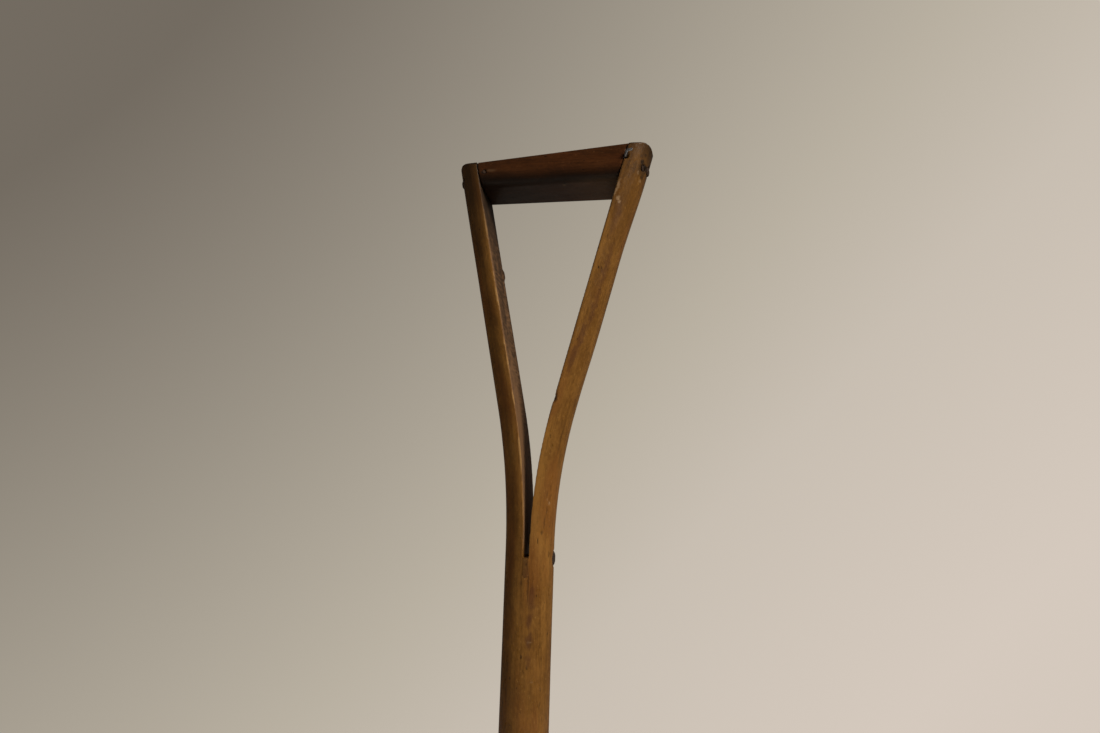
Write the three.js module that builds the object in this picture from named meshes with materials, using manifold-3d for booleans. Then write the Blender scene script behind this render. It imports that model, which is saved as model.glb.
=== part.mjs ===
// Split-shaft D handle for a hand tool: one ash shaft sawn down the middle, its two halves
// steamed apart and closed by a wooden grip, held with a through rod, a rivet and two nails.
// Millimetres, +Z up the shaft, +X along the grip, front towards -Y.
// The origin is the centre of the flat end that goes into the tool's socket.

import * as THREE from 'three';
import { mergeVertices } from 'three/addons/utils/BufferGeometryUtils.js';
import Module from 'manifold-3d';

// ---- driving dimensions ----

const OVERALL_LENGTH = 711;            // a 28 in handle
const LOOP_HEIGHT = 329;               // from the crotch to the highest point of the D
const SHAFT_DIAMETER = 38;             // 1 1/2 in stock
const SOCKET_END_DIAMETER = 29;
const SOCKET_TAPER_LENGTH = 95;
const END_CHAMFER = 2;

const KERF_WIDTH = 4;                  // the saw cut that splits the shaft
const KERF_OFFSET = 1.0;               // it runs a little to the right of the middle
const SLIP_HEIGHT = 14;                // the wooden slip at the bottom of the saw cut
const SLIP_CLEARANCE = 0.2;
const BEND_START = 6;                  // above the crotch
const BEND_LENGTH = 113;
const LEFT_SPREAD = THREE.MathUtils.degToRad(11.5);
const RIGHT_SPREAD = THREE.MathUtils.degToRad(14.7);
const RIGHT_THICKENING = 1.0;          // what the right leg gains above its bend
const THICKENING_LENGTH = 60;          // up from the top of the bend
const RIGHT_FLARE = 2.4;               // and what it gains beside the grip
const FLARE_DROP = 55;                 // where that starts under the grip's underside
const FLARE_LENGTH = 70;

const GRIP_DEPTH = 37;
const GRIP_HEIGHT = 31.7;              // at x = 0; it tapers towards the left
const GRIP_DROP = 6.0;                 // how far its top at x = 0 is under the highest corner
const GRIP_TOP_SLOPE = 0.0825;
const GRIP_UNDERSIDE_SLOPE = 0.004;
const RIGHT_TOP_SLOPE = -0.02;         // the right leg's own top falls off again
const TOP_ROUNDING = 7;                // over the front and back edges of the legs' tops
const JOINT_GAP = 0.3;

const ROD_DIAMETER = 6;
const ROD_DROP = 16.3;                 // its axis under the grip's top, at x = 0
const ROD_SLOPE = 0.025;
const ROD_HEAD_DIAMETER = 8;
const ROD_HEAD_HEIGHT = 2.4;
const ROD_SEAT_DEPTH = 1.2;            // its ends are sunk this far into the legs

const RIVET_DIAMETER = 5;
const RIVET_HEAD_DIAMETER = 12;
const RIVET_HEAD_HEIGHT = 2.6;
const RIVET_HEIGHT = -1;               // its axis above the crotch
const RIVET_SETBACK = 3.5;             // its axis behind the shaft's
const RIVET_SEAT = 16.4;               // from the shaft's axis to the head's spot face
const BURR_DIAMETER = 11;
const BURR_THICKNESS = 1.4;
const BURR_SEAT = 15.4;                // from the shaft's axis to the burr's deeper spot face

const NAIL_DIAMETER = 2.2;
const NAIL_HEAD_DIAMETER = 5;
const BRAD_HEAD_DIAMETER = 3.4;
const SIDE_NAIL_LENGTH = 18;
const SIDE_NAIL_SETBACK = 9;           // in front of the leg's middle, so it passes the rod
const SIDE_NAIL_SKEW = THREE.MathUtils.degToRad(8);
const FIT = 0.2;                       // clearance round metal that passes through wood

const ROUND = 64;                      // facets round the shaft
const SMALL_ROUND = 24;                // facets round the ironmongery

// ---- sizes that follow ----

const SHAFT_RADIUS = SHAFT_DIAMETER / 2;
const CROTCH_Z = OVERALL_LENGTH - LOOP_HEIGHT;
const KERF_FLOOR_Z = CROTCH_Z - SLIP_HEIGHT;
const GRIP_TOP_Z = OVERALL_LENGTH - GRIP_DROP;
const GRIP_UNDERSIDE_Z = GRIP_TOP_Z - GRIP_HEIGHT;

// ---- booleans ----

const wasm = await Module();
wasm.setup();

function toSolid(geometry) {
  const bare = geometry.clone();
  bare.deleteAttribute('normal');
  bare.deleteAttribute('uv');
  const merged = mergeVertices(bare, 1e-4);
  const mesh = new wasm.Mesh({
    numProp: 3,
    vertProperties: new Float32Array(merged.attributes.position.array),
    triVerts: new Uint32Array(merged.index.array),
  });
  return new wasm.Manifold(mesh);
}

function toGeometry(solid) {
  const mesh = solid.getMesh();
  const geometry = new THREE.BufferGeometry();
  geometry.setAttribute('position', new THREE.BufferAttribute(mesh.vertProperties, 3));
  geometry.setIndex(new THREE.BufferAttribute(mesh.triVerts, 1));
  geometry.computeVertexNormals();
  return geometry;
}

// ---- shape helpers ----

// A turned solid standing on its axis along +Z; the profile is a list of [radius, height].
function turned(profile, facets) {
  const points = profile.map(([radius, height]) => new THREE.Vector2(radius, height));
  const geometry = new THREE.LatheGeometry(points, facets);
  geometry.rotateX(Math.PI / 2);
  return geometry;
}

// Lays a geometry made along +Z from its origin onto a line through a point.
function laidAlong(geometry, start, direction) {
  const turn = new THREE.Quaternion();
  turn.setFromUnitVectors(new THREE.Vector3(0, 0, 1), direction.clone().normalize());
  geometry.applyQuaternion(turn);
  geometry.translate(start.x, start.y, start.z);
  return geometry;
}

function rodBetween(start, end, radius) {
  const direction = end.clone().sub(start);
  const length = direction.length();
  const geometry = turned([[0, 0], [radius, 0], [radius, length], [0, length]], SMALL_ROUND);
  return laidAlong(geometry, start, direction);
}

// Extrudes an outline drawn in the X-Z plane through the depth of the handle.
function extrudedThroughDepth(shape, depth) {
  const geometry = new THREE.ExtrudeGeometry(shape, { depth, bevelEnabled: false });
  geometry.rotateX(Math.PI / 2);
  geometry.translate(0, depth / 2, 0);
  return geometry;
}

// Extrudes a section drawn as depth and height along X, centred on x = 0.
function drawnAlongX(shape, length, steps) {
  const geometry = new THREE.ExtrudeGeometry(shape, {
    depth: length,
    steps,
    bevelEnabled: false,
    curveSegments: 8,
  });
  geometry.translate(0, 0, -length / 2);
  geometry.applyMatrix4(new THREE.Matrix4().makeBasis(
    new THREE.Vector3(0, 1, 0),
    new THREE.Vector3(0, 0, 1),
    new THREE.Vector3(1, 0, 0),
  ));
  return geometry;
}

// The flat inner face of one leg, followed upwards from inside the shaft: straight, bent, straight.
class LegCurve extends THREE.Curve {
  constructor(side, spread, thickening, flare) {
    super();
    this.side = side;
    this.spread = spread;
    this.thickening = thickening;
    this.flare = flare;
    this.radius = BEND_LENGTH / spread;
    this.face = KERF_WIDTH / 2 + side * KERF_OFFSET;
    this.startZ = KERF_FLOOR_Z - 10;
    this.straight = CROTCH_Z + BEND_START - this.startZ;
    this.upper = (LOOP_HEIGHT + 30 - BEND_START - BEND_LENGTH) / Math.cos(spread);
    this.total = this.straight + BEND_LENGTH + this.upper;
  }

  getPoint(t, target = new THREE.Vector3()) {
    const along = t * this.total;
    const bent = THREE.MathUtils.clamp((along - this.straight) / BEND_LENGTH, 0, 1) * this.spread;
    const beyond = Math.max(along - this.straight - BEND_LENGTH, 0);
    const out = this.radius * (1 - Math.cos(bent)) + beyond * Math.sin(bent);
    const up = Math.min(along, this.straight) + this.radius * Math.sin(bent) + beyond * Math.cos(bent);
    return target.set(this.side * (this.face + out), 0, this.startZ + up);
  }

  // Where the inner face stands at a height above the bend.
  faceX(z) {
    const bendTopZ = CROTCH_Z + BEND_START + this.radius * Math.sin(this.spread);
    const bendTopX = this.face + this.radius * (1 - Math.cos(this.spread));
    return this.side * (bendTopX + (z - bendTopZ) * Math.tan(this.spread));
  }

  // Where a line z = lineZ(x) meets the inner face, moved outwards by some distance.
  meets(lineZ, outwards) {
    let x = 0;
    for (let i = 0; i < 30; i++) {
      x = this.faceX(lineZ(x)) + (this.side * outwards) / Math.cos(this.spread);
    }
    return new THREE.Vector3(x, 0, lineZ(x));
  }

  // How many times thicker than half the shaft the leg is at a height.
  growth(z) {
    const bendTopZ = CROTCH_Z + BEND_START + BEND_LENGTH;
    const flareZ = GRIP_UNDERSIDE_Z - FLARE_DROP;
    const low = THREE.MathUtils.smoothstep(z, bendTopZ, bendTopZ + THICKENING_LENGTH);
    const high = THREE.MathUtils.smoothstep(z, flareZ, flareZ + FLARE_LENGTH);
    return 1 + (this.thickening * low + this.flare * high) / (SHAFT_RADIUS - this.face);
  }

  // From the inner face to the round outside, at a distance in front of the middle.
  thickness(setback, z) {
    return (Math.sqrt(SHAFT_RADIUS ** 2 - setback ** 2) - this.face) * this.growth(z);
  }
}

const leftCurve = new LegCurve(-1, LEFT_SPREAD, 0, 0);
const rightCurve = new LegCurve(1, RIGHT_SPREAD, RIGHT_THICKENING, RIGHT_FLARE);

// A leg's part of the round shaft, measured from its sawn face, with the turned shaft's corners.
// Along a curve in the X-Z plane, the extrusion lays a shape's x along -Y and its y along +X.
function legSection(side, face) {
  const corner = (i) => {
    const angle = (i / ROUND) * 2 * Math.PI;
    return [SHAFT_RADIUS * Math.sin(angle), SHAFT_RADIUS * Math.cos(angle)];
  };
  const outline = [];
  let previous = corner(0);
  for (let i = 1; i <= ROUND / 2; i++) {
    const next = corner(i);
    if (previous[0] < face !== next[0] < face) {
      const share = (face - previous[0]) / (next[0] - previous[0]);
      outline.push([face, previous[1] + share * (next[1] - previous[1])]);
    }
    if (next[0] >= face) {
      outline.push(next);
    }
    previous = next;
  }
  return new THREE.Shape(outline.map(([x, y]) => new THREE.Vector2(-y, side * (x - face))));
}

function legGeometry(curve) {
  const geometry = new THREE.ExtrudeGeometry(legSection(curve.side, curve.face), {
    steps: 32,
    extrudePath: curve,
    bevelEnabled: false,
  });
  const position = geometry.attributes.position;
  for (let i = 0; i < position.count; i++) {
    const x = position.getX(i);
    const z = position.getZ(i);
    const fromFace = curve.side * (x - curve.faceX(z)) * Math.cos(curve.spread);
    const outwards = fromFace * (curve.growth(z) - 1);
    position.setX(i, x + curve.side * outwards * Math.cos(curve.spread));
    position.setZ(i, z - outwards * Math.sin(curve.spread));
  }
  return geometry;
}

// ---- where things meet ----

function gripTopZ(x) {
  return GRIP_TOP_Z + x * GRIP_TOP_SLOPE;
}

function gripUndersideZ(x) {
  return GRIP_UNDERSIDE_Z + x * GRIP_UNDERSIDE_SLOPE;
}

function rodZ(x) {
  return GRIP_TOP_Z - ROD_DROP + x * ROD_SLOPE;
}

// The rod's axis, from one leg's inner face to the other's, and the unit vector along it.
const rodLeft = leftCurve.meets(rodZ, 0);
const rodRight = rightCurve.meets(rodZ, 0);
const alongRod = rodRight.clone().sub(rodLeft).normalize();
const backAlongRod = alongRod.clone().negate();

// The top of the D follows the grip's as far as the right leg.
const topJoint = rightCurve.meets(gripTopZ, 0);

function topZ(x) {
  return gripTopZ(Math.min(x, topJoint.x)) + Math.max(x - topJoint.x, 0) * RIGHT_TOP_SLOPE;
}

// The outline of the whole handle from the front, with the rounded upper corners of the D.
function trimShape() {
  const corners = [[leftCurve, 5], [rightCurve, 9]].map(([curve, radius]) => {
    const corner = curve.meets(topZ, curve.thickness(0, GRIP_TOP_Z) + 0.2);
    const inX = corner.x - curve.side * radius;
    return {
      x: corner.x,
      z: corner.z,
      downX: corner.x - curve.side * radius * Math.sin(curve.spread),
      downZ: corner.z - radius * Math.cos(curve.spread),
      inX,
      inZ: topZ(inX),
    };
  });
  const [left, right] = corners;
  const wide = 150;
  const shape = new THREE.Shape();
  shape.moveTo(-wide, -10);
  shape.lineTo(-wide, left.downZ - 40);
  shape.lineTo(left.downX, left.downZ);
  shape.quadraticCurveTo(left.x, left.z, left.inX, left.inZ);
  shape.lineTo(topJoint.x, topJoint.z);
  shape.lineTo(right.inX, right.inZ);
  shape.quadraticCurveTo(right.x, right.z, right.downX, right.downZ);
  shape.lineTo(wide, right.downZ - 40);
  shape.lineTo(wide, -10);
  return shape;
}

// The blank under the sloping top of the D, with its front and back edges rounded over.
function hoodGeometry() {
  const side = SHAFT_RADIUS + 0.3;
  const deep = OVERALL_LENGTH + 50;
  const wide = 300;
  const shape = new THREE.Shape();
  shape.moveTo(-side, -deep);
  shape.lineTo(side, -deep);
  shape.lineTo(side, -TOP_ROUNDING);
  shape.quadraticCurveTo(side, 0, side - TOP_ROUNDING, 0);
  shape.lineTo(TOP_ROUNDING - side, 0);
  shape.quadraticCurveTo(-side, 0, -side, -TOP_ROUNDING);
  const geometry = drawnAlongX(shape, wide, 12);
  const position = geometry.attributes.position;
  for (let i = 0; i < position.count; i++) {
    position.setZ(i, position.getZ(i) + topZ(position.getX(i)));
  }
  return geometry;
}

// ---- ironmongery, and the holes it needs ----

// A round seat cut into the wood from a point outwards.
function seatCutter(centre, direction, diameter) {
  const radius = diameter / 2 + FIT;
  const cutter = turned([[0, 0], [radius, 0], [radius, 20], [0, 20]], SMALL_ROUND * 2);
  return laidAlong(cutter, centre, direction);
}

// The mushroomed end of a rod or rivet, as the end of a profile.
function peenedEnd(shank, head, from, height) {
  return [
    [shank, from],
    [head, from],
    [head, from + height * 0.4],
    [head * 0.75, from + height * 0.82],
    [head * 0.35, from + height],
    [0, from + height],
  ];
}

function turnedOver(profile) {
  return profile.map(([radius, height]) => [radius, -height]).reverse();
}

// The rod through both legs and the grip, peened over at both ends.
const rodReachLeft = leftCurve.thickness(0, rodLeft.z) - ROD_SEAT_DEPTH;
const rodReachRight = rightCurve.thickness(0, rodRight.z) - ROD_SEAT_DEPTH;
const rodSeatLeft = rodLeft.clone().addScaledVector(backAlongRod, rodReachLeft);
const rodSeatRight = rodRight.clone().addScaledVector(alongRod, rodReachRight);
const rodLength = rodSeatLeft.distanceTo(rodSeatRight);
const rodEnd = (from) => peenedEnd(ROD_DIAMETER / 2, ROD_HEAD_DIAMETER / 2, from, ROD_HEAD_HEIGHT);
const rodGeometry = laidAlong(
  turned([...turnedOver(rodEnd(FIT)), ...rodEnd(rodLength + FIT)], SMALL_ROUND),
  rodSeatLeft,
  alongRod,
);
const rodHole = rodBetween(
  rodLeft.clone().addScaledVector(backAlongRod, 2 * SHAFT_RADIUS),
  rodRight.clone().addScaledVector(alongRod, 2 * SHAFT_RADIUS),
  ROD_DIAMETER / 2 + FIT,
);

// The rivet across the bottom of the saw cut: a domed head on the right, a burr on the left.
const toTheRight = new THREE.Vector3(1, 0, 0);
const toTheLeft = new THREE.Vector3(-1, 0, 0);
const rivetZ = CROTCH_Z + RIVET_HEIGHT;
const rivetSeatRight = new THREE.Vector3(RIVET_SEAT, RIVET_SETBACK, rivetZ);
const rivetSeatLeft = new THREE.Vector3(-BURR_SEAT, RIVET_SETBACK, rivetZ);
const rivetPeen = peenedEnd(RIVET_DIAMETER / 2, 3.8, BURR_THICKNESS + 2 * FIT, 1.6);
const rivetHead = peenedEnd(
  RIVET_DIAMETER / 2,
  RIVET_HEAD_DIAMETER / 2,
  RIVET_SEAT + BURR_SEAT + FIT,
  RIVET_HEAD_HEIGHT,
);
const rivetGeometry = laidAlong(
  turned([...turnedOver(rivetPeen), ...rivetHead], SMALL_ROUND),
  rivetSeatLeft,
  toTheRight,
);
const rivetHole = rodBetween(
  new THREE.Vector3(-SHAFT_DIAMETER, RIVET_SETBACK, rivetZ),
  new THREE.Vector3(SHAFT_DIAMETER, RIVET_SETBACK, rivetZ),
  RIVET_DIAMETER / 2 + FIT,
);
const burrHole = RIVET_DIAMETER / 2 + FIT;
const burrOuter = BURR_DIAMETER / 2;
const burrGeometry = laidAlong(
  turned([
    [burrHole, 0],
    [burrOuter, 0],
    [burrOuter, BURR_THICKNESS * 0.5],
    [burrOuter - 1.2, BURR_THICKNESS],
    [burrHole, BURR_THICKNESS],
    [burrHole, 0],
  ], SMALL_ROUND),
  rivetSeatLeft.clone().addScaledVector(toTheLeft, FIT),
  toTheLeft,
);

// A straight nail along +Z, with the underside of its head at the origin.
function nailGeometry(headDiameter, length) {
  const head = headDiameter / 2;
  const shank = NAIL_DIAMETER / 2;
  return turned([
    [0, -1.2],
    [head * 0.7, -1.2],
    [head, -0.8],
    [head, 0],
    [shank, 0],
    [shank, length - 3],
    [0, length],
  ], SMALL_ROUND);
}

// Everything a straight nail needs cut away: its shank's hole and, above it, its head's.
function nailCutter(headDiameter, length) {
  const head = headDiameter / 2 + FIT;
  const shank = NAIL_DIAMETER / 2 + FIT;
  return turned([
    [0, -10],
    [head, -10],
    [head, FIT],
    [shank, FIT],
    [shank, length + FIT],
    [0, length + FIT],
  ], SMALL_ROUND);
}

// A straight nail driven at a point of the wood's surface, and its cutter.
function drivenNail(point, direction, headDiameter, length) {
  return {
    geometry: laidAlong(nailGeometry(headDiameter, length), point, direction),
    cutter: laidAlong(nailCutter(headDiameter, length), point, direction),
  };
}

// A side nail goes in beside the rod, level with it and slanting a little towards the back.
function sideNail(curve, rodPoint) {
  const skew = SIDE_NAIL_SKEW;
  const inwards = new THREE.Vector3(-curve.side * Math.cos(skew), Math.sin(skew), 0);
  const surface = new THREE.Vector3(
    rodPoint.x + curve.side * curve.thickness(SIDE_NAIL_SETBACK, rodPoint.z),
    -SIDE_NAIL_SETBACK,
    rodPoint.z,
  );
  const seat = surface.addScaledVector(inwards, 1.2);
  return drivenNail(seat, inwards, NAIL_HEAD_DIAMETER, SIDE_NAIL_LENGTH);
}

const sideNailLeft = sideNail(leftCurve, rodLeft);
const sideNailRight = sideNail(rightCurve, rodRight);

// The left brad toes from the grip's front into its leg.
const bradLeftX = rodLeft.x + 4;
const bradLeft = drivenNail(
  new THREE.Vector3(bradLeftX, -17.4, gripTopZ(bradLeftX) - 11),
  new THREE.Vector3(-0.55, 0.83, 0),
  BRAD_HEAD_DIAMETER,
  18,
);

// The right brad goes from the leg's front into the grip, and its head end is bent over the leg.
const bradMouthX = rodRight.x + 3.4;
const bradMouth = new THREE.Vector3(bradMouthX, -17.8, gripTopZ(bradMouthX) - 13.4);
const bradTip = bradMouth.clone().add(new THREE.Vector3(-13, 11, -1));
const bradRadius = 1.25;
const bradPath = new THREE.CatmullRomCurve3([
  bradTip,
  bradMouth.clone().lerp(bradTip, 0.15),
  bradMouth.clone().add(new THREE.Vector3(0.2, -2.4, 0.8)),
  bradMouth.clone().add(new THREE.Vector3(1.2, -3.2, 3.6)),
  bradMouth.clone().add(new THREE.Vector3(5.6, -2.8, 4.8)),
], false, 'catmullrom', 0.5);
const bradCircle = new THREE.Shape();
bradCircle.absarc(0, 0, bradRadius, 0, 2 * Math.PI);
const bradRightGeometry = new THREE.ExtrudeGeometry(bradCircle, {
  steps: 24,
  curveSegments: 6,
  extrudePath: bradPath,
  bevelEnabled: false,
});
const bradDirection = bradTip.clone().sub(bradMouth).normalize();
const bradHole = rodBetween(
  bradMouth.clone().addScaledVector(bradDirection, -3),
  bradTip.clone().addScaledVector(bradDirection, 1),
  bradRadius + 2 * FIT,
);
const bradRelief = new THREE.SphereGeometry(2.2, SMALL_ROUND, SMALL_ROUND / 2);
bradRelief.translate(bradMouth.x + 0.3, bradMouth.y - 0.8, bradMouth.z + 0.6);

// ---- the shaft and its two legs ----

const endRadius = SOCKET_END_DIAMETER / 2;
const shaftBlank = turned([
  [0, 0],
  [endRadius - END_CHAMFER, 0],
  [endRadius, END_CHAMFER],
  [SHAFT_RADIUS - 0.6, SOCKET_TAPER_LENGTH],
  [SHAFT_RADIUS, SOCKET_TAPER_LENGTH + 20],
  [SHAFT_RADIUS, KERF_FLOOR_Z],
  [0, KERF_FLOOR_Z],
], ROUND);

let shaftSolid = toSolid(shaftBlank)
  .add(toSolid(legGeometry(leftCurve)))
  .add(toSolid(legGeometry(rightCurve)))
  .intersect(toSolid(extrudedThroughDepth(trimShape(), 2 * SHAFT_DIAMETER)))
  .intersect(toSolid(hoodGeometry()));
const shaftCutters = [
  rodHole,
  rivetHole,
  bradHole,
  bradRelief,
  sideNailLeft.cutter,
  sideNailRight.cutter,
  bradLeft.cutter,
  seatCutter(rodSeatLeft, backAlongRod, ROD_HEAD_DIAMETER),
  seatCutter(rodSeatRight, alongRod, ROD_HEAD_DIAMETER),
  seatCutter(rivetSeatRight, toTheRight, RIVET_HEAD_DIAMETER),
  seatCutter(rivetSeatLeft, toTheLeft, BURR_DIAMETER),
];
for (const cutter of shaftCutters) {
  shaftSolid = shaftSolid.subtract(toSolid(cutter));
}

// ---- the grip ----

// The grip's section, looking along +X: x is the depth and y runs from -1, the underside, to 1.
// The hand has worn the front round and left the underside sloping down towards the back.
function gripSection() {
  const deep = GRIP_DEPTH / 2;
  const shape = new THREE.Shape();
  shape.moveTo(-11, 1);
  shape.bezierCurveTo(-16, 1, -deep, 0.75, -deep, 0.25);
  shape.bezierCurveTo(-deep, -0.2, -15.5, -0.5, -11, -0.62);
  shape.lineTo(11, -1);
  shape.bezierCurveTo(15, -1.03, deep, -0.8, deep, -0.35);
  shape.lineTo(deep, 0.35);
  shape.bezierCurveTo(deep, 0.8, 14, 1, 9, 1);
  return shape;
}

// The space between the legs' inner faces, less the gap that the joints keep.
function betweenLegsShape() {
  const lowZ = GRIP_UNDERSIDE_Z - 20;
  const highZ = OVERALL_LENGTH + 20;
  const edge = (curve, z) => curve.faceX(z) - (curve.side * JOINT_GAP) / Math.cos(curve.spread);
  const shape = new THREE.Shape();
  shape.moveTo(edge(leftCurve, lowZ), lowZ);
  shape.lineTo(edge(rightCurve, lowZ), lowZ);
  shape.lineTo(edge(rightCurve, highZ), highZ);
  shape.lineTo(edge(leftCurve, highZ), highZ);
  return shape;
}

// The section is extruded along X with a height of 2, then drawn out between top and underside.
const gripBlank = drawnAlongX(gripSection(), 180, 4);
const gripPosition = gripBlank.attributes.position;
for (let i = 0; i < gripPosition.count; i++) {
  const x = gripPosition.getX(i);
  const share = (gripPosition.getZ(i) + 1) / 2;
  gripPosition.setZ(i, THREE.MathUtils.lerp(gripUndersideZ(x), gripTopZ(x), share));
}

let gripSolid = toSolid(gripBlank)
  .intersect(toSolid(extrudedThroughDepth(betweenLegsShape(), 2 * SHAFT_DIAMETER)));
const gripCutters = [
  rodHole,
  bradHole,
  bradRelief,
  sideNailLeft.cutter,
  sideNailRight.cutter,
  bradLeft.cutter,
];
for (const cutter of gripCutters) {
  gripSolid = gripSolid.subtract(toSolid(cutter));
}

// ---- the slip in the saw cut ----

const slipThickness = KERF_WIDTH - 2 * SLIP_CLEARANCE;
const slipDepth = 2 * SHAFT_RADIUS - 1.2;
const slipHeight = SLIP_HEIGHT - SLIP_CLEARANCE;
const slipGeometry = new THREE.BoxGeometry(slipThickness, slipDepth, slipHeight);
slipGeometry.translate(KERF_OFFSET, 0, KERF_FLOOR_Z + SLIP_CLEARANCE + slipHeight / 2);
const slipSolid = toSolid(slipGeometry).subtract(toSolid(rivetHole));

// ---- materials ----

const agedAsh = new THREE.MeshStandardMaterial({ color: 0x8a5a2b, roughness: 0.5, metalness: 0 });
const darkGrip = new THREE.MeshStandardMaterial({ color: 0x5a2f12, roughness: 0.45, metalness: 0 });
const slipWood = new THREE.MeshStandardMaterial({ color: 0x7a3b1c, roughness: 0.7, metalness: 0 });
const oldSteel = new THREE.MeshStandardMaterial({ color: 0x5b5a5c, roughness: 0.45, metalness: 0.9 });
const rustySteel = new THREE.MeshStandardMaterial({ color: 0x4a382c, roughness: 0.7, metalness: 0.6 });

// ---- the handle ----

const handle = new THREE.Group();
const pieces = [
  ['split_shaft', toGeometry(shaftSolid), agedAsh],
  ['grip', toGeometry(gripSolid), darkGrip],
  ['kerf_slip', toGeometry(slipSolid), slipWood],
  ['grip_rod', rodGeometry, rustySteel],
  ['side_nail_left', sideNailLeft.geometry, rustySteel],
  ['side_nail_right', sideNailRight.geometry, rustySteel],
  ['top_brad_left', bradLeft.geometry, rustySteel],
  ['top_brad_right', bradRightGeometry, oldSteel],
  ['crotch_rivet', rivetGeometry, rustySteel],
  ['crotch_burr', burrGeometry, rustySteel],
];
for (const [name, geometry, material] of pieces) {
  const mesh = new THREE.Mesh(geometry, material);
  mesh.name = name;
  handle.add(mesh);
}

export default handle;
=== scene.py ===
"""Looks for the split-shaft D handle: worn varnished wood, old nails, a rod and a rivet.

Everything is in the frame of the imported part: metres, +Z up the shaft, +X along the grip,
front towards -Y, with the origin at the centre of the end that goes into the tool's socket.
"""

import math

import bpy
import numpy as np
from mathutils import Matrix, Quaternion, Vector, noise


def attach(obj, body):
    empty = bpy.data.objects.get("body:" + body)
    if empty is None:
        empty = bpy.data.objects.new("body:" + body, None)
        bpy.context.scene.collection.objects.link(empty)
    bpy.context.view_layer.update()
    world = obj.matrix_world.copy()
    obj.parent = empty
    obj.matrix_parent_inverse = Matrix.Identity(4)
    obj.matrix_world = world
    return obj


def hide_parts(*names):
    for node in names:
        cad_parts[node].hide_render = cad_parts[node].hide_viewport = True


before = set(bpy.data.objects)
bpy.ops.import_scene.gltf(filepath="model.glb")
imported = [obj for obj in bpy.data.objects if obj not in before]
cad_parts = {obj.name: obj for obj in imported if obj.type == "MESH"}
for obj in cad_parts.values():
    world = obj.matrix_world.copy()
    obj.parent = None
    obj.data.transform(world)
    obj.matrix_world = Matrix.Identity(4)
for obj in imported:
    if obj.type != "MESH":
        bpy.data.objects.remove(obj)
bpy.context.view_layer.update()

MM = 0.001

# ---- the handle's own geometry, in millimetres, as its CAD source has it ----

SHAFT_RADIUS = 19.0
CROTCH_Z = 382.0
KERF_WIDTH = 4.0
KERF_OFFSET = 1.0
BEND_START_Z = CROTCH_Z + 6.0
BEND_LENGTH = 113.0
SPREADS = {-1: math.radians(11.5), 1: math.radians(14.7)}

# ---- settings of the looks, in millimetres ----

# Sizes of the cells of the fine copies.
SHAFT_VOXEL = 0.8
GRIP_VOXEL = 0.7
SLIP_VOXEL = 0.4
METAL_VOXEL = 0.22

# Rounds of wear on the edges of every piece but the slip, and how far the uneven faces of the shaft
# and the metal are set back, so that the handle keeps inside its CAD box.
WEAR_ROUNDS = 3
SHAFT_SET_BACK = 0.2
METAL_SET_BACK = 0.1

# Marks on the round outside of the shaft, mostly of age, some painted shade: (how far across, height,
# half the width, half the length, strength), as seen from the front before the shaft was bent.
DARK_MARKS = (
    # a dark notch in the right leg's edge
    (4.2, 505, 2.2, 6.0, 0.90),
    # cracks and scratches above the crotch
    (13.0, 431, 0.8, 3.0, 0.50),
    (15.6, 430, 0.7, 2.2, 0.40),
    (14.0, 418, 0.9, 5.0, 0.50),
    (13.2, 409, 0.8, 9.0, 0.50),
    (11.8, 401, 1.4, 2.4, 0.55),
    (11.0, 468, 1.0, 3.0, 0.50),
    (15.4, 474, 0.8, 16.0, 0.40),
    (17.2, 462, 0.8, 14.0, 0.40),
    # the saw cut's end, running on as a crack
    (3.5, 362, 0.8, 17.0, 0.70),
    # specks on the shaft
    (-11.0, 260, 1.0, 1.8, 0.55),
    (14.5, 287, 1.0, 1.8, 0.55),
    (4.5, 303, 1.0, 1.6, 0.65),
    (-2.0, 364, 0.9, 2.0, 0.55),
    # the stain round the nail and the rod at the top right; its darkest spots are painted shadow round the
    # rod's head
    (17.0, 702, 7.5, 12.0, 0.72),
    (16.6, 713, 3.4, 2.4, 0.85),
    (17.4, 695, 3.0, 3.4, 0.80),
    (18.2, 703, 3.2, 5.2, 0.95),
    (16.0, 706, 3.0, 5.0, 0.92),
    (14.6, 711, 2.6, 3.0, 0.65),
    (12.6, 700, 3.0, 9.0, 0.40),
    (8.0, 694, 3.0, 12.0, 0.25),
    # painted shade high on the left leg
    (-12.0, 640, 5.0, 26.0, 0.35),
)
RED_STAINS = (
    # below the saw cut
    (6.4, 352, 4.5, 16.0, 0.42),
    (5.8, 336, 3.5, 9.0, 0.55),
    (5.6, 322, 3.0, 9.0, 0.50),
    (5.0, 308, 3.0, 8.0, 0.32),
    # a long streak up the right leg
    (8.2, 538, 3.2, 18.0, 0.42),
    (10.2, 557, 3.4, 20.0, 0.45),
    (13.0, 582, 3.4, 26.0, 0.38),
    (13.2, 615, 3.6, 30.0, 0.36),
    (10.0, 655, 4.0, 24.0, 0.28),
)
CHIPS = (
    # under the grip's right end
    (5.2, 681, 1.2, 8.0, 0.40),
    (4.4, 676, 0.9, 5.0, 0.55),
    (7.6, 671, 2.4, 2.6, 0.60),
    (9.4, 669, 1.4, 2.0, 0.55),
    # in the stain round the nail
    (15.2, 697, 1.0, 2.2, 0.28),
    (17.2, 691, 1.6, 1.4, 0.28),
    # above the crotch
    (15.0, 424, 1.2, 1.8, 0.50),
    (13.6, 426, 0.8, 1.4, 0.35),
    # thin scratches
    (3.4, 590, 0.8, 5.0, 0.25),
    (6.4, 561, 1.0, 4.0, 0.18),
    (6.0, 321, 2.4, 0.8, 0.30),
    (8.5, 293, 2.0, 0.8, 0.25),
)
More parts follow.
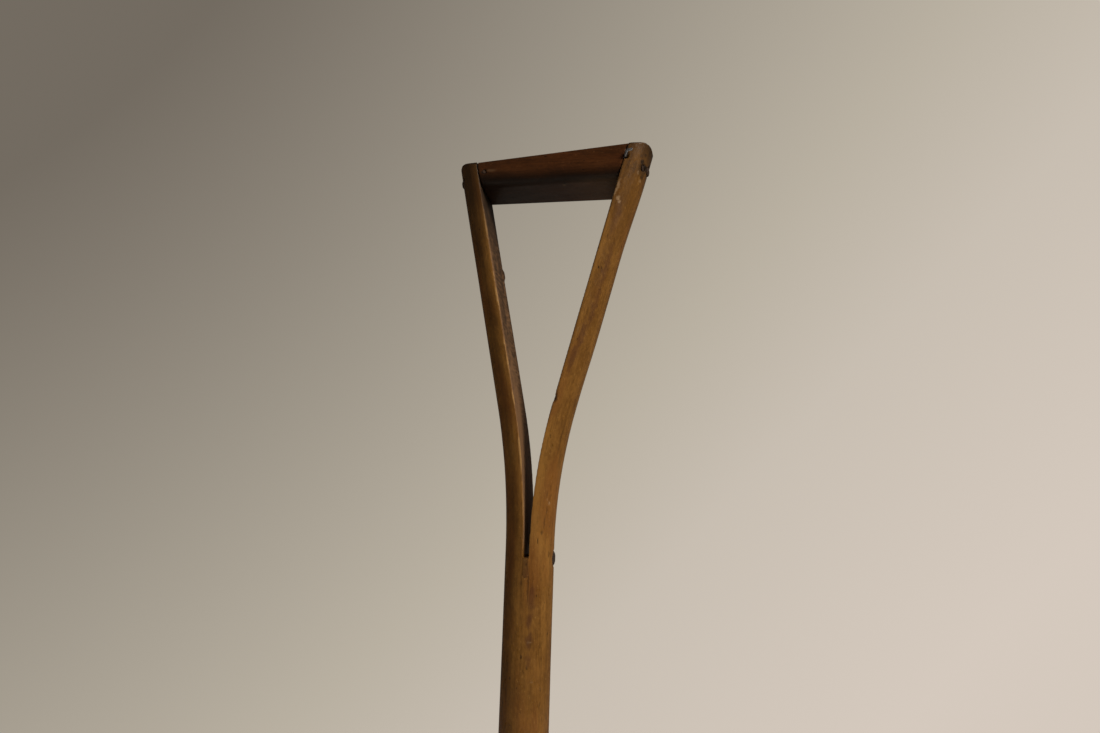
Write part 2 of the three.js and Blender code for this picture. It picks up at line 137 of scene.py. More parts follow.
DENTS = (
    (4.2, 505, 2.4, 6.0, 0.70),
    (14.6, 426, 2.4, 4.0, 0.35),
    (4.5, 303, 1.3, 1.8, 0.35),
    (14.5, 287, 1.3, 2.2, 0.35),
)
DENT_DEPTH = 0.9
CHIP_DEPTH = 0.35
SPLINTER = (-1.0, 17.8, 615.0)
SPLINTER_REACH = 1.2

# The slip in the end of the saw cut, how much it is swollen to close the gap round it, how far from
# it the shaft's edges stay sharp, and how the shaft's lips round it are told from the rest.
SLIP_HEIGHT = 14.0
SLIP_TOP = np.array((KERF_OFFSET, 0.0, CROTCH_Z))
SLIP_SWELLING = np.array((1.16, 1.02, 1.03))
SLIP_MARGIN = 1.0
LIP_DEPTH = 1.0
LIP_TOLERANCE = 0.2

# The middle of the darker patch beside the rivet's head, and the smears on the grip: each middle, and
# radii.
RIVET_DARK_PATCH = (19.0, 3.0, 381.0)
GRIP_SMEARS = {
    (20.0, -9.0, 679.5): (2.0, 2.0, 1.4),
    (-40.0, -18.0, 691.0): (6.0, 5.0, 1.6),
}


# ---- nodes ----

class Nodes:
    """Short names for the nodes in the tree of a material or a world."""

    def __init__(self, owner, shader="Principled BSDF"):
        owner.use_nodes = True
        self.tree = owner.node_tree
        self.shader = self.tree.nodes[shader]

    def add(self, kind, **settings):
        node = self.tree.nodes.new(kind)
        for key, value in settings.items():
            setattr(node, key, value)
        return node

    def link(self, source, target):
        if isinstance(source, (int, float, tuple)):
            target.default_value = source
        else:
            self.tree.links.new(source, target)

    def attribute(self, name, vector=False):
        node = self.add("ShaderNodeAttribute", attribute_name=name)
        return node.outputs["Vector" if vector else "Fac"]

    def math(self, operation, a, b=0.0, clamp=False):
        node = self.add("ShaderNodeMath", operation=operation, use_clamp=clamp)
        self.link(a, node.inputs[0])
        self.link(b, node.inputs[1])
        return node.outputs[0]

    def scaled(self, vector, scale):
        node = self.add("ShaderNodeVectorMath", operation="MULTIPLY")
        self.link(vector, node.inputs[0])
        node.inputs[1].default_value = scale
        return node.outputs[0]

    def dot(self, vector, direction):
        node = self.add("ShaderNodeVectorMath", operation="DOT_PRODUCT")
        self.link(vector, node.inputs[0])
        node.inputs[1].default_value = direction
        return node.outputs["Value"]

    def noise(self, vector, scale=1.0, detail=2.0, roughness=0.5):
        node = self.add("ShaderNodeTexNoise")
        self.link(vector, node.inputs["Vector"])
        node.inputs["Scale"].default_value = scale
        node.inputs["Detail"].default_value = detail
        node.inputs["Roughness"].default_value = roughness
        return node.outputs["Fac"]

    def remap(self, value, low, high, out_low=0.0, out_high=1.0):
        node = self.add("ShaderNodeMapRange", interpolation_type="SMOOTHSTEP")
        self.link(value, node.inputs["Value"])
        node.inputs["From Min"].default_value = low
        node.inputs["From Max"].default_value = high
        node.inputs["To Min"].default_value = out_low
        node.inputs["To Max"].default_value = out_high
        return node.outputs["Result"]

    def ramp(self, value, stops):
        node = self.add("ShaderNodeValToRGB")
        elements = node.color_ramp.elements
        while len(elements) < len(stops):
            elements.new(0.5)
        for element, (place, colour) in zip(elements, stops):
            element.position = place
            element.color = (*colour, 1)
        self.link(value, node.inputs["Fac"])
        return node.outputs["Color"]

    def mix(self, share, a, b, blend="MIX"):
        node = self.add("ShaderNodeMix", data_type="RGBA", blend_type=blend)
        self.link(share, node.inputs["Factor"])
        self.link(a if not isinstance(a, tuple) else (*a, 1), node.inputs["A"])
        self.link(b if not isinstance(b, tuple) else (*b, 1), node.inputs["B"])
        return node.outputs["Result"]

    def bump(self, height, strength, distance, under=None):
        node = self.add("ShaderNodeBump")
        node.inputs["Strength"].default_value = strength
        node.inputs["Distance"].default_value = distance
        self.link(height, node.inputs["Height"])
        if under is not None:
            self.link(under, node.inputs["Normal"])
        return node.outputs["Normal"]


# ---- the stage, the light and the camera ----

def make_floor():
    """A plain pale round floor that fades out at its rim."""
    radius, around, rings = 1.0, 96, 10
    vertices = [(0.0, 0.0, 0.0)]
    faces = [(0, 1 + k, 1 + (k + 1) % around) for k in range(around)]
    for ring in range(1, rings + 1):
        for k in range(around):
            angle = 2 * math.pi * k / around
            out = radius * ring / rings
            vertices.append((out * math.cos(angle), out * math.sin(angle), 0.0))
    for ring in range(rings - 1):
        low = 1 + ring * around
        for k in range(around):
            n = (k + 1) % around
            faces.append((low + k, low + around + k, low + around + n, low + n))
    mesh = bpy.data.meshes.new("floor")
    mesh.from_pydata(vertices, [], faces)
    floor = bpy.data.objects.new("floor", mesh)
    bpy.context.scene.collection.objects.link(floor)
    floor.location.z = -0.0005
    material = bpy.data.materials.new("pale_floor")
    n = Nodes(material)
    n.shader.inputs["Base Color"].default_value = (0.62, 0.59, 0.55, 1)
    n.shader.inputs["Roughness"].default_value = 0.9
    n.shader.inputs["Specular IOR Level"].default_value = 0.15
    out = n.add("ShaderNodeVectorMath", operation="LENGTH")
    n.link(n.add("ShaderNodeTexCoord").outputs["Object"], out.inputs[0])
    n.link(n.remap(out.outputs["Value"], 0.45, radius, 1.0, 0.0), n.shader.inputs["Alpha"])
    mesh.materials.append(material)


def add_light(name, place, aim, size, power, colour, kind):
    light = bpy.data.lights.new(name, "AREA")
    light.shape = "DISK"
    light.size = size
    light.energy = power
    light.color = colour
    lamp = bpy.data.objects.new(name, light)
    lamp.location = place
    lamp.visible_camera = False
    lamp.visible_glossy = kind == "glints"
    lamp.visible_diffuse = kind == "light"
    lamp.rotation_mode = "QUATERNION"
    lamp.rotation_quaternion = (Vector(aim) - Vector(place)).to_track_quat("-Z", "Y")
    bpy.context.scene.collection.objects.link(lamp)


def make_world():
    """A pale beige room, darker up to the left of the front view; it gives less light than it shows."""
    world = bpy.data.worlds.new("room")
    bpy.context.scene.world = world
    n = Nodes(world, "Background")
    direction = n.add("ShaderNodeTexCoord").outputs["Generated"]
    across = n.add("ShaderNodeMapRange")
    n.link(n.dot(direction, (1.0, 0.0, -0.9)), across.inputs["Value"])
    across.inputs["From Min"].default_value = -1.05
    across.inputs["From Max"].default_value = 0.55
    colour = n.ramp(across.outputs["Result"], [
        (0.05, (0.170, 0.147, 0.119)),
        (0.28, (0.322, 0.287, 0.235)),
        (0.52, (0.482, 0.433, 0.356)),
        (0.67, (0.578, 0.516, 0.443)),
        (0.91, (0.663, 0.584, 0.512)),
    ])
    behind = n.remap(n.dot(direction, (0.0, -1.0, 0.0)), -0.45, 0.3)
    n.link(n.mix(behind, colour, (0.50, 0.455, 0.395)), n.shader.inputs["Color"])
    ray = n.add("ShaderNodeLightPath")
    strength = n.math("ADD", n.math("MULTIPLY", ray.outputs["Is Camera Ray"], 0.70), 0.30)
    strength = n.math("SUBTRACT", strength, n.math("MULTIPLY", ray.outputs["Is Glossy Ray"], 0.16))
    n.link(strength, n.shader.inputs["Strength"])


def make_lights():
    """A warm key from the front right with weaker glints of its own, and fills without glints."""
    middle, key_place = (0.0, 0.0, 0.5), (1.39, -0.87, 1.65)
    warm, soft = (1.0, 0.93, 0.82), (1.0, 0.95, 0.9)
    add_light("key", key_place, middle, 0.6, 42, warm, "light")
    add_light("key_glints", key_place, middle, 0.6, 18, warm, "glints")
    add_light("front", (-0.5, -1.9, 1.3), middle, 1.2, 1.5, soft, "light")
    add_light("back", (-0.3, 1.5, 2.0), middle, 1.2, 26, soft, "light")
    add_light("side", (-1.8, 0.5, 1.2), middle, 1.2, 0.9, soft, "light")


def make_camera():
    """Low and a little to the right, looking slightly up, with a slight lean."""
    aim = Vector((11.1, 0.0, CROTCH_Z + 148.6)) * MM
    distance = 0.6399
    azimuth, elevation, lean = (math.radians(a) for a in (11.31, -9.19, 1.86))
    away = Vector((
        math.sin(azimuth) * math.cos(elevation),
        -math.cos(azimuth) * math.cos(elevation),
        math.sin(elevation),
    ))
    data = bpy.data.cameras.new("camera")
    data.sensor_width = 36.0
    data.lens = 26.18
    camera = bpy.data.objects.new("camera", data)
    camera.location = aim + away * distance
    camera.rotation_mode = "QUATERNION"
    level = (-away).to_track_quat("-Z", "Y")
    camera.rotation_quaternion = level @ Quaternion((0, 0, 1), lean)
    bpy.context.scene.collection.objects.link(camera)
    bpy.context.scene.camera = camera


# ---- meshes ----

def fine_copy(node, voxel):
    """A fine, closed copy of a CAD node, its vertices in mm and its edges."""
    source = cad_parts[node]
    rough = bpy.data.objects.new(node + "_rough", source.data.copy())
    bpy.context.scene.collection.objects.link(rough)
    remesh = rough.modifiers.new("remesh", "REMESH")
    remesh.mode = "VOXEL"
    remesh.voxel_size = voxel * MM
    graph = bpy.context.evaluated_depsgraph_get()
    mesh = bpy.data.meshes.new_from_object(rough.evaluated_get(graph))
    bpy.data.objects.remove(rough)
    mesh.materials.clear()
    points = np.zeros(len(mesh.vertices) * 3)
    mesh.vertices.foreach_get("co", points)
    points = points.reshape(-1, 3) / MM
    edges = np.zeros(len(mesh.edges) * 2, int)
    mesh.edges.foreach_get("vertices", edges)
    return mesh, points, edges.reshape(-1, 2)


def pull(values, edges):
    """For each vertex, its neighbours' mean less its own value."""
    count = np.bincount(edges.ravel(), minlength=len(values)).astype(float)
    flat = values.reshape(len(values), -1)
    mean = np.zeros_like(flat)
    for k in range(flat.shape[1]):
        mean[:, k] = np.bincount(edges[:, 0], flat[edges[:, 1], k], len(values))
        mean[:, k] += np.bincount(edges[:, 1], flat[edges[:, 0], k], len(values))
    return (mean / np.maximum(count, 1)[:, None]).reshape(values.shape) - values


def worn(points, edges, rounds):
    """The points with their sharp edges worn round, and no shrinking."""
    for _ in range(rounds):
        points = points + 0.5 * pull(points, edges)
        points = points - 0.51 * pull(points, edges)
    return points


def spread_out(values, edges, rounds):
    """Values smoothed over the mesh."""
    for _ in range(rounds):
        values = values + 0.5 * pull(values, edges)
    return values


def normals_of(mesh, points):
    mesh.vertices.foreach_set("co", (points * MM).ravel())
    mesh.update()
    normals = np.zeros(len(mesh.vertices) * 3)
    mesh.vertices.foreach_get("normal", normals)
    return normals.reshape(-1, 3)


def edge_wear(points, edges, normals, rounds):
    """About 0 on flats, positive along worn outer edges and negative in corners."""
    bulge = -np.einsum("ij,ij->i", pull(points, edges), normals)
    return spread_out(bulge, edges, rounds)


def store(mesh, name, values):
    kind = "FLOAT_VECTOR" if values.ndim == 2 else "FLOAT"
    attribute = mesh.attributes.new(name, kind, "POINT")
    key = "vector" if values.ndim == 2 else "value"
    attribute.data.foreach_set(key, values.astype(np.float32).ravel())


def finish_piece(name, mesh, points, material, slot, *nodes):
    """Puts the points back into the mesh and makes it the piece that stands for some CAD nodes."""
    mesh.vertices.foreach_set("co", (points * MM).ravel())
    mesh.update()
    mesh.shade_smooth()
    mesh.materials.append(material)
    mesh.name = name
    piece = bpy.data.objects.new(name, mesh)
    bpy.context.scene.collection.objects.link(piece)
    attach(piece, "root")
    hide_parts(*nodes)
    return piece


def noise_at(points, scale, seed, stretch=(1, 1, 1)):
    """Smooth noise from -1 to 1 at each point; scale is the size of its features in mm."""
    offset = Vector((seed * 17.3, seed * 5.1, seed * 9.7))
    grid = points / (np.array(stretch) * scale)
    return np.array([noise.noise(Vector(p) + offset) for p in grid])


def soft_step(values, low, high):
    t = np.clip((values - low) / (high - low), 0, 1)
    return t * t * (3 - 2 * t)


def spot(places, centre, radii):
    """1 at the middle of an ellipsoid, falling to 0 at its surface."""
    far = np.linalg.norm((places - np.array(centre)) / np.array(radii), axis=1)
    return 1 - soft_step(far, 0.3, 1.0)


def unbent(points):
    """Where each point of the shaft was before it was split and bent, as x, y, z in mm."""
    x, y, z = points.T
    result = points.copy()
    for side, spread in SPREADS.items():
        face = KERF_WIDTH / 2 + side * KERF_OFFSET
        bend_radius = BEND_LENGTH / spread
        leg = (z > BEND_START_Z) & ((x - KERF_OFFSET) * side > 0)
        across = face + bend_radius - side * x[leg]
        up = z[leg] - BEND_START_Z
        turn = np.arctan2(up, across)
        bent = turn < spread
        radial = np.hypot(up, across)
        beyond = up * math.cos(spread) + (bend_radius - across) * math.sin(spread)
        beyond -= bend_radius * math.sin(spread)
        inwards = across * math.cos(spread) + up * math.sin(spread)
        from_face = bend_radius - np.where(bent, radial, inwards)
        along = np.where(bent, bend_radius * turn, BEND_LENGTH + beyond)
        result[leg, 0] = side * (face + from_face)
        result[leg, 2] = BEND_START_Z + along
    return result


# ---- materials ----

def wood_material(name, light, mid, dark, pith, ring, gloss, shine):
    """Varnished wood, worn and stained, with painted light and shade in its colour.

    It reads the attributes grain (mm along and across the wood), tone, edge, grime, pale, red,
    sawn and end.
    """
    material = bpy.data.materials.new(name)
    n = Nodes(material)
    grain = n.attribute("grain", vector=True)
    pale, sawn, end = (n.attribute(each) for each in ("pale", "sawn", "end"))
    slow = n.noise(n.scaled(grain, (1 / 26, 1 / 26, 1 / 240)), detail=2.0)
    wander = n.noise(n.scaled(grain, (1 / 7, 1 / 7, 1 / 90)), detail=3.0)

    # growth rings round a pith that lies well outside the piece
    from_pith = n.add("ShaderNodeVectorMath", operation="DISTANCE")
    n.link(n.scaled(grain, (1, 1, 0)), from_pith.inputs[0])
    from_pith.inputs[1].default_value = pith
    depth = n.math("ADD", from_pith.outputs["Value"], n.math("MULTIPLY", slow, 9.0))
    depth = n.math("ADD", depth, n.math("MULTIPLY", wander, 2.2))
    phase = n.math("FRACT", n.math("DIVIDE", depth, ring))
    early = n.ramp(phase, [(0.0, (1, 1, 1)), (0.16, (0.85,) * 3), (0.42, (0.12,) * 3),
                           (0.86, (0.0,) * 3), (1.0, (1, 1, 1))])

    # short dark pores, long fibres, mottling in the varnish and slow changes of hue
    pores = n.noise(n.scaled(grain, (1 / 0.5, 1 / 0.5, 1 / 7)), detail=2.0, roughness=0.55)
    pores = n.remap(pores, 0.54, 0.72)
    fibre = n.noise(n.scaled(grain, (1 / 1.1, 1 / 1.1, 1 / 40)), detail=4.0, roughness=0.6)
    blotch = n.noise(n.scaled(grain, (1 / 13, 1 / 13, 1 / 34)), detail=5.0, roughness=0.62)
    mottle = n.noise(n.scaled(grain, (1 / 2.1, 1 / 2.1, 1 / 3.4)), detail=3.0, roughness=0.6)
    pits = n.noise(n.scaled(grain, (1 / 2.6, 1 / 2.6, 1 / 5.5)), detail=1.0)
    pits = n.remap(pits, 0.72, 0.80)

    tone = n.math("MULTIPLY", blotch, 0.70)
    tone = n.math("ADD", tone, n.math("MULTIPLY", fibre, 0.34))
    tone = n.math("ADD", tone, n.math("MULTIPLY", n.math("SUBTRACT", mottle, 0.17), 0.40))
    tone = n.math("SUBTRACT", tone, n.math("MULTIPLY", early, 0.05))
    tone = n.math("ADD", tone, n.attribute("tone"))
    colour = n.ramp(tone, [(0.33, dark), (0.61, mid), (0.90, light)])
    redder = tuple(c * k for c, k in zip(mid, (1.05, 0.78, 0.85)))
    hue = n.noise(n.scaled(grain, (1 / 19, 1 / 19, 1 / 75)), detail=2.0)
    colour = n.mix(n.remap(hue, 0.46, 0.66, 0.0, 0.45), colour, redder)
    open_pores = n.math("MULTIPLY", pores, n.math("ADD", n.math("MULTIPLY", early, 0.34), 0.12))
    open_pores = n.math("MAXIMUM", open_pores, n.math("MULTIPLY", pits, 0.75))
    colour = n.mix(open_pores, colour, tuple(c * 0.33 for c in dark))

    # painted highlight: pale flecks standing in for glints in the varnish
    glint_flecks = n.noise(n.scaled(grain, (1 / 1.3, 1 / 1.3, 1 / 2.4)), detail=1.0)
    glint_colour = tuple(c * k for c, k in zip(light, (1.3, 1.5, 2.0)))
    colour = n.mix(n.remap(glint_flecks, 0.66, 0.78, 0.0, 0.45), colour, glint_colour)

    # sawn faces are bare, dull and grey with dirt; the tone, painted light and shade included, sets how
    # light they are
    kerfs = n.noise(n.scaled(grain, (1 / 9, 1 / 9, 1 / 2.2)), detail=2.0)
    dullness = n.math("ADD", n.math("ADD", kerfs, blotch), n.math("MULTIPLY", n.attribute("tone"), 3.0))
    dull = n.mix(n.remap(dullness, 0.7, 1.4), (0.036, 0.019, 0.0095), (0.158, 0.083, 0.038))
    colour = n.mix(sawn, colour, dull)

    # worn edges are paler, and corners get painted shade
    edge = n.attribute("edge")
    rough_edge = n.math("ADD", edge, n.math("MULTIPLY", n.math("SUBTRACT", mottle, 0.5), 0.07))
    worn = n.remap(rough_edge, 0.035, 0.12)
    worn_colour = tuple(c * k for c, k in zip(light, (1.6, 1.95, 3.2)))
    colour = n.mix(n.math("MULTIPLY", worn, 0.6), colour, worn_colour)
    # painted shade in corners and creases
    corner_shade = n.remap(edge, -0.02, -0.12)
    colour = n.mix(n.math("MULTIPLY", corner_shade, 0.8), colour, tuple(c * 0.25 for c in dark))
    colour = n.mix(n.attribute("red"), colour, (0.050, 0.016, 0.012))
    # darken towards near black: real dirt in the marks, and painted shade under the grip, at the tops of
    # the legs and on faces turned towards the key light
    grime_and_shade_share = n.math("MULTIPLY", n.attribute("grime_and_shade"), n.remap(mottle, 0.25, 0.6, 0.82, 1.0))
    colour = n.mix(grime_and_shade_share, colour, (0.0105, 0.0068, 0.0047))
    colour = n.mix(pale, colour, (0.34, 0.22, 0.115))
    colour = n.mix(n.math("MULTIPLY", end, 0.6), colour, tuple(c * 0.5 for c in dark))
    n.link(colour, n.shader.inputs["Base Color"])

    # the varnish is thin on the wear and gone in the chips and on the sawn faces
    scuffs = n.noise(n.scaled(grain, (1 / 9, 1 / 9, 1 / 16)), detail=5.0, roughness=0.7)
    roughness = n.remap(scuffs, 0.35, 0.68, gloss, gloss + 0.13)
    roughness = n.math("ADD", roughness, n.math("MULTIPLY", worn, 0.08))
    bare = n.math("ADD", n.math("ADD", pale, end), sawn, clamp=True)
    roughness = n.math("ADD", roughness, n.math("MULTIPLY", bare, 0.40), clamp=True)
    n.link(roughness, n.shader.inputs["Roughness"])
    n.shader.inputs["Specular IOR Level"].default_value = shine
    n.shader.inputs["Coat Weight"].default_value = shine * 0.3
    n.shader.inputs["Coat Roughness"].default_value = 0.16
    n.shader.inputs["IOR"].default_value = 1.48

    height = n.math("SUBTRACT", n.math("MULTIPLY", fibre, 0.5), n.math("MULTIPLY", open_pores, 0.9))
    bumped = n.bump(height, 0.5, 0.00022)
    bumped = n.bump(mottle, 0.4, 0.00030, under=bumped)
    dings = n.noise(n.scaled(grain, (1 / 5, 1 / 5, 1 / 9)), detail=3.0)
    n.link(n.bump(dings, 0.4, 0.0006, under=bumped), n.shader.inputs["Normal"])
    return material


def metal_material(name, bright, dark, rust, roughness, rusty):
    """Old steel: tarnish, rust in patches and fine pits."""
    material = bpy.data.materials.new(name)
    n = Nodes(material)
    place = n.add("ShaderNodeTexCoord").outputs["Object"]
    patches = n.noise(place, scale=420.0, detail=5.0, roughness=0.65)
    fine = n.noise(place, scale=1900.0, detail=3.0, roughness=0.6)
    colour = n.mix(n.remap(fine, 0.35, 0.7), bright, dark)
    rusted = n.remap(patches, 0.62 - rusty, 0.74 - rusty * 0.8)
    colour = n.mix(rusted, colour, rust)
    n.link(colour, n.shader.inputs["Base Color"])
    n.link(n.math("SUBTRACT", 0.92, n.math("MULTIPLY", rusted, 0.75)), n.shader.inputs["Metallic"])
    n.link(n.math("ADD", n.math("MULTIPLY", rusted, 0.35), roughness), n.shader.inputs["Roughness"])
    bumped = n.bump(fine, 0.35, 0.00012)
    n.link(n.bump(patches, 0.5, 0.00035, under=bumped), n.shader.inputs["Normal"])
    return material


# ---- the pieces ----

def marked(places, marks, ragged):
    """How strongly some marks show on the round outside of the shaft, with ragged outlines."""
    x, y, z = places.T
    around = SHAFT_RADIUS * np.arctan2(x, -y) + ragged * noise_at(places, ragged * 2, 11)
    along = z + ragged * noise_at(places, ragged * 2, 12)
    result = np.zeros(len(places))
    for across, height, half_width, half_length, strength in marks:
        centre = SHAFT_RADIUS * math.asin(across / SHAFT_RADIUS)
        far = np.hypot((around - centre) / half_width, (along - height) / half_length)
        result = np.maximum(result, strength * (1 - soft_step(far, 0.3, 1.0)))
    return result * soft_step(np.hypot(x, y), 14, 17)


def worn_shaft(sharp, edges):
    """The shaft's points with worn edges, but sharp ones beside the slip, and which those are."""
    points = worn(sharp, edges, WEAR_ROUNDS)
    slip_middle = CROTCH_Z - SLIP_HEIGHT / 2
    by_slip = np.abs(sharp[:, 0] - KERF_OFFSET) < KERF_WIDTH
    by_slip &= np.abs(sharp[:, 2] - slip_middle) < SLIP_HEIGHT / 2 + SLIP_MARGIN
    points[by_slip] = sharp[by_slip]
    radius = np.hypot(sharp[:, 0], sharp[:, 1])
    lip = by_slip & (radius > SHAFT_RADIUS - LIP_DEPTH)
    in_cut = np.abs(sharp[:, 0] - KERF_OFFSET) < KERF_WIDTH / 2 - LIP_TOLERANCE
    lip &= ~in_cut | (sharp[:, 2] < CROTCH_Z - SLIP_HEIGHT + LIP_TOLERANCE)
    points[lip, :2] *= (SHAFT_RADIUS / radius[lip])[:, None]
    return points, by_slip


def shaft_zones(places, normals):
    """Masks of the shaft's parts, and how far each place is from the sawn face beside it."""
    x, y, z = places.T
    left = x < KERF_OFFSET
    half_cut = KERF_WIDTH / 2
    to_face = np.where(left, KERF_OFFSET - half_cut - x, x - KERF_OFFSET - half_cut)
    inwards = np.where(left, normals[:, 0], -normals[:, 0])
    above = soft_step(z, CROTCH_Z + 2, CROTCH_Z + 14)
    sawn = (1 - soft_step(to_face, 0.6, 1.6)) * soft_step(inwards, 0.35, 0.75) * above
    forward = soft_step(-y, 13.0, 17.5)
    return left, to_face, above, sawn, forward


def rubbed_and_lit_arris(places, left, to_face):
    """Where the left leg's front arris is paler in patches: rubbed wear, with a painted highlight."""
    y, z = places[:, 1], places[:, 2]
    rough = noise_at(places, 5, 3, (1, 1, 3))
    streaks = noise_at(places, 2.4, 4, (1, 1, 5))
    arris = (1 - soft_step(np.abs(to_face - 0.7), 0.5, 1.8)) * (1 - soft_step(y, -17.6, -15.5))
    along = soft_step(z, 400, 440) * (1 - 0.75 * soft_step(z, 600, 690))
    return arris * along * left * soft_step(rough + streaks * 0.7, -0.25, 0.45)


def shaft_grime_and_shade(places, normals, height, left, to_face, forward):
    """Dirt in the marks; painted shade towards the tops of the legs, most on the left leg and on top faces
    turned up and to the right; darker along the right leg's inner arris and beside the rivet.
    """
    z = places[:, 2]
    # darker along the right leg's inner front arris
    darker_right_arris = (1 - soft_step(to_face, 0.7, 2.2)) * forward * ~left * soft_step(z, 470, 500)
    # painted shade: darker towards the tops of the legs, more on the left leg and most at the very tops
    grime_and_shade = 0.10 * soft_step(z, 560, 690) + 0.45 * left * soft_step(z, 610, 690)
    grime_and_shade = grime_and_shade + 0.35 * soft_step(height, 692, 709) + 0.5 * darker_right_arris
    # painted shade on the top faces turned up and to the right, towards the key light
    grime_and_shade = grime_and_shade + 0.6 * soft_step(normals[:, 2], 0.1, 0.6) * soft_step(height, 690, 704)
    grime_and_shade = grime_and_shade + 0.5 * soft_step(normals[:, 0], 0.45, 0.9) * soft_step(height, 675, 700)
    grime_and_shade = np.maximum(grime_and_shade, marked(places, DARK_MARKS, 0.9))
    # a darker patch beside the rivet's head
    grime_and_shade = np.maximum(grime_and_shade, 0.65 * spot(places, RIVET_DARK_PATCH, (3.0, 8.5, 9.0)))
    return np.clip(grime_and_shade, 0, 0.95)


def shaft_edges(places, edge, height, left, rubbed_and_lit):
    """The edge wear, weaker on the right, at the tops of the legs and round the slip, plus the left
    arris's rubbed wear and painted highlight.
    """
    x, z = places[:, 0], places[:, 2]
    slot = (1 - soft_step(np.abs(x - KERF_OFFSET), 2.2, 3.6)) * (1 - soft_step(z, CROTCH_Z, CROTCH_Z + 4))
    slot = slot * soft_step(z, CROTCH_Z - 18, CROTCH_Z - 13)
    outer = np.clip(edge, 0, None)
    keep = np.where(left, 0.45, 0.25) * (1 - soft_step(height, 640, 690)) * (1 - slot)
    return np.minimum(edge, 0) + outer * keep + 0.10 * rubbed_and_lit


def shaft_tone(places, left, to_face, above, sawn, forward):
    """How much lighter or darker than usual the wood is drawn: some real tone, and painted light and
    shade.
    """
    x, y, z = places.T
    # painted light: a lighter band on the left leg's front beside its arris, where the key light grazes
    lit_band = left * above * forward * (1 - soft_step(to_face, 2.0, 8.0)) * (1 - 0.6 * soft_step(z, 620, 690))
    # painted sheen: the right leg lighter beside its inner face
    sheen_beside_cut = ~left * (1 - soft_step(to_face, 2.5, 7.0)) * (1 - soft_step(z, 640, 690))
    # painted falloff of light: lighter low on the shaft, darker towards the tops
    tone = 0.11 * lit_band + 0.06 * (1 - soft_step(z, 430, 600)) - 0.08 * soft_step(z, 600, 700)
    tone = tone + 0.20 * sheen_beside_cut * soft_step(z, 385, 420)
    tone = tone + 0.11 * ~left * soft_step(z, 340, 384) * (1 - soft_step(z, 430, 480))
    # painted shade on the shaft's left side, low down
    tone = tone - 0.14 * soft_step(-x, 5, 13) * (1 - soft_step(z, 384, 440))
    # painted light on the low part of the sawn faces and painted shade towards their far side
    shaded_far_side = soft_step(y, -8, 8) * (1 - soft_step(z, 440, 530))
    return tone + sawn * (0.20 * (1 - soft_step(z, 430, 560)) - 0.02 - 0.14 * shaded_far_side)


def make_shaft(material):
    mesh, sharp, edges = fine_copy("split_shaft", SHAFT_VOXEL)
    points, by_slip = worn_shaft(sharp, edges)
    normals = normals_of(mesh, points)
    height = points[:, 2]
    places = unbent(points)
    left, to_face, above, sawn, forward = shaft_zones(places, normals)
    rubbed_and_lit = rubbed_and_lit_arris(places, left, to_face)
    grime_and_shade = shaft_grime_and_shade(places, normals, height, left, to_face, forward)
    pale = np.clip(marked(places, CHIPS, 1.0), 0, 0.85)
    edge = edge_wear(points, edges, normals, 1) * np.where(by_slip, 0.2, 1.0)
    edge = shaft_edges(places, edge, height, left, rubbed_and_lit)
    tone = shaft_tone(places, left, to_face, above, sawn, forward)

    # an uneven surface, with dents, chips and one splinter
    wave = noise_at(places, 34, 1, (1, 1, 3)) * 0.22 + noise_at(places, 9, 2, (1, 1, 3)) * 0.07
    wave = wave - SHAFT_SET_BACK - DENT_DEPTH * marked(places, DENTS, 1.0) - CHIP_DEPTH * pale
    splinter = spot(places, SPLINTER, (2.5, 2.2, 6.0))
    points = points + normals * wave[:, None]
    points[:, 0] += SPLINTER_REACH * splinter

    store(mesh, "grain", places)
    store(mesh, "edge", edge)
    store(mesh, "grime_and_shade", np.maximum(grime_and_shade, 0.7 * splinter))
    store(mesh, "pale", pale)
    store(mesh, "red", marked(places, RED_STAINS, 2.0))
    store(mesh, "sawn", sawn)
    store(mesh, "tone", tone)
    store(mesh, "end", soft_step(np.abs(normals[:, 2]), 0.75, 0.95))
    finish_piece("split_shaft_wood", mesh, points, material, "shaft_wood", "split_shaft")


def make_grip(material):
    mesh, points, edges = fine_copy("grip", GRIP_VOXEL)
    points = worn(points, edges, WEAR_ROUNDS)
    normals = normals_of(mesh, points)
    edge = edge_wear(points, edges, normals, 1)
    low = points[:, 2].min()
    # painted shade on the grip's lower front and underside, lighter towards the right where light bounces
    # up under it, and a little more on the front near the left leg
    lower = 1 - soft_step(points[:, 2], low + 8, low + 22)
    front = soft_step(-normals[:, 1], 0.0, 0.8)
    to_right = soft_step(points[:, 0], -30, 60)
    grime_and_shade = lower * (0.85 - 0.60 * to_right + (0.12 + 0.60 * to_right) * front)
    grime_and_shade = np.clip(grime_and_shade + 0.08 * (1 - soft_step(points[:, 0], -50, 0)) * front, 0, 0.95)
    store(mesh, "grain", points[:, [1, 2, 0]].copy())
    store(mesh, "edge", np.minimum(edge, 0) + 0.5 * np.clip(edge, 0, None))
    store(mesh, "grime_and_shade", grime_and_shade)
    smears = sum(spot(points, centre, radii) for centre, radii in GRIP_SMEARS.items())
    # painted light on the right part of the grip's underside, where light bounces up from below
    lit_underside = soft_step(-normals[:, 2], 0.5, 0.9) * soft_step(points[:, 0], 15, 60)
    store(mesh, "pale", 0.12 * smears + 0.13 * lit_underside)
    # painted shade on the grip's faces turned up
    store(mesh, "tone", 0.12 * lit_underside - 0.12 * soft_step(normals[:, 2], -0.1, 0.4))
    for name in ("red", "sawn"):
        store(mesh, name, np.zeros(len(points)))
    store(mesh, "end", soft_step(np.abs(normals[:, 0]), 0.8, 0.95))
    finish_piece("grip_wood", mesh, points, material, "grip_wood", "grip")


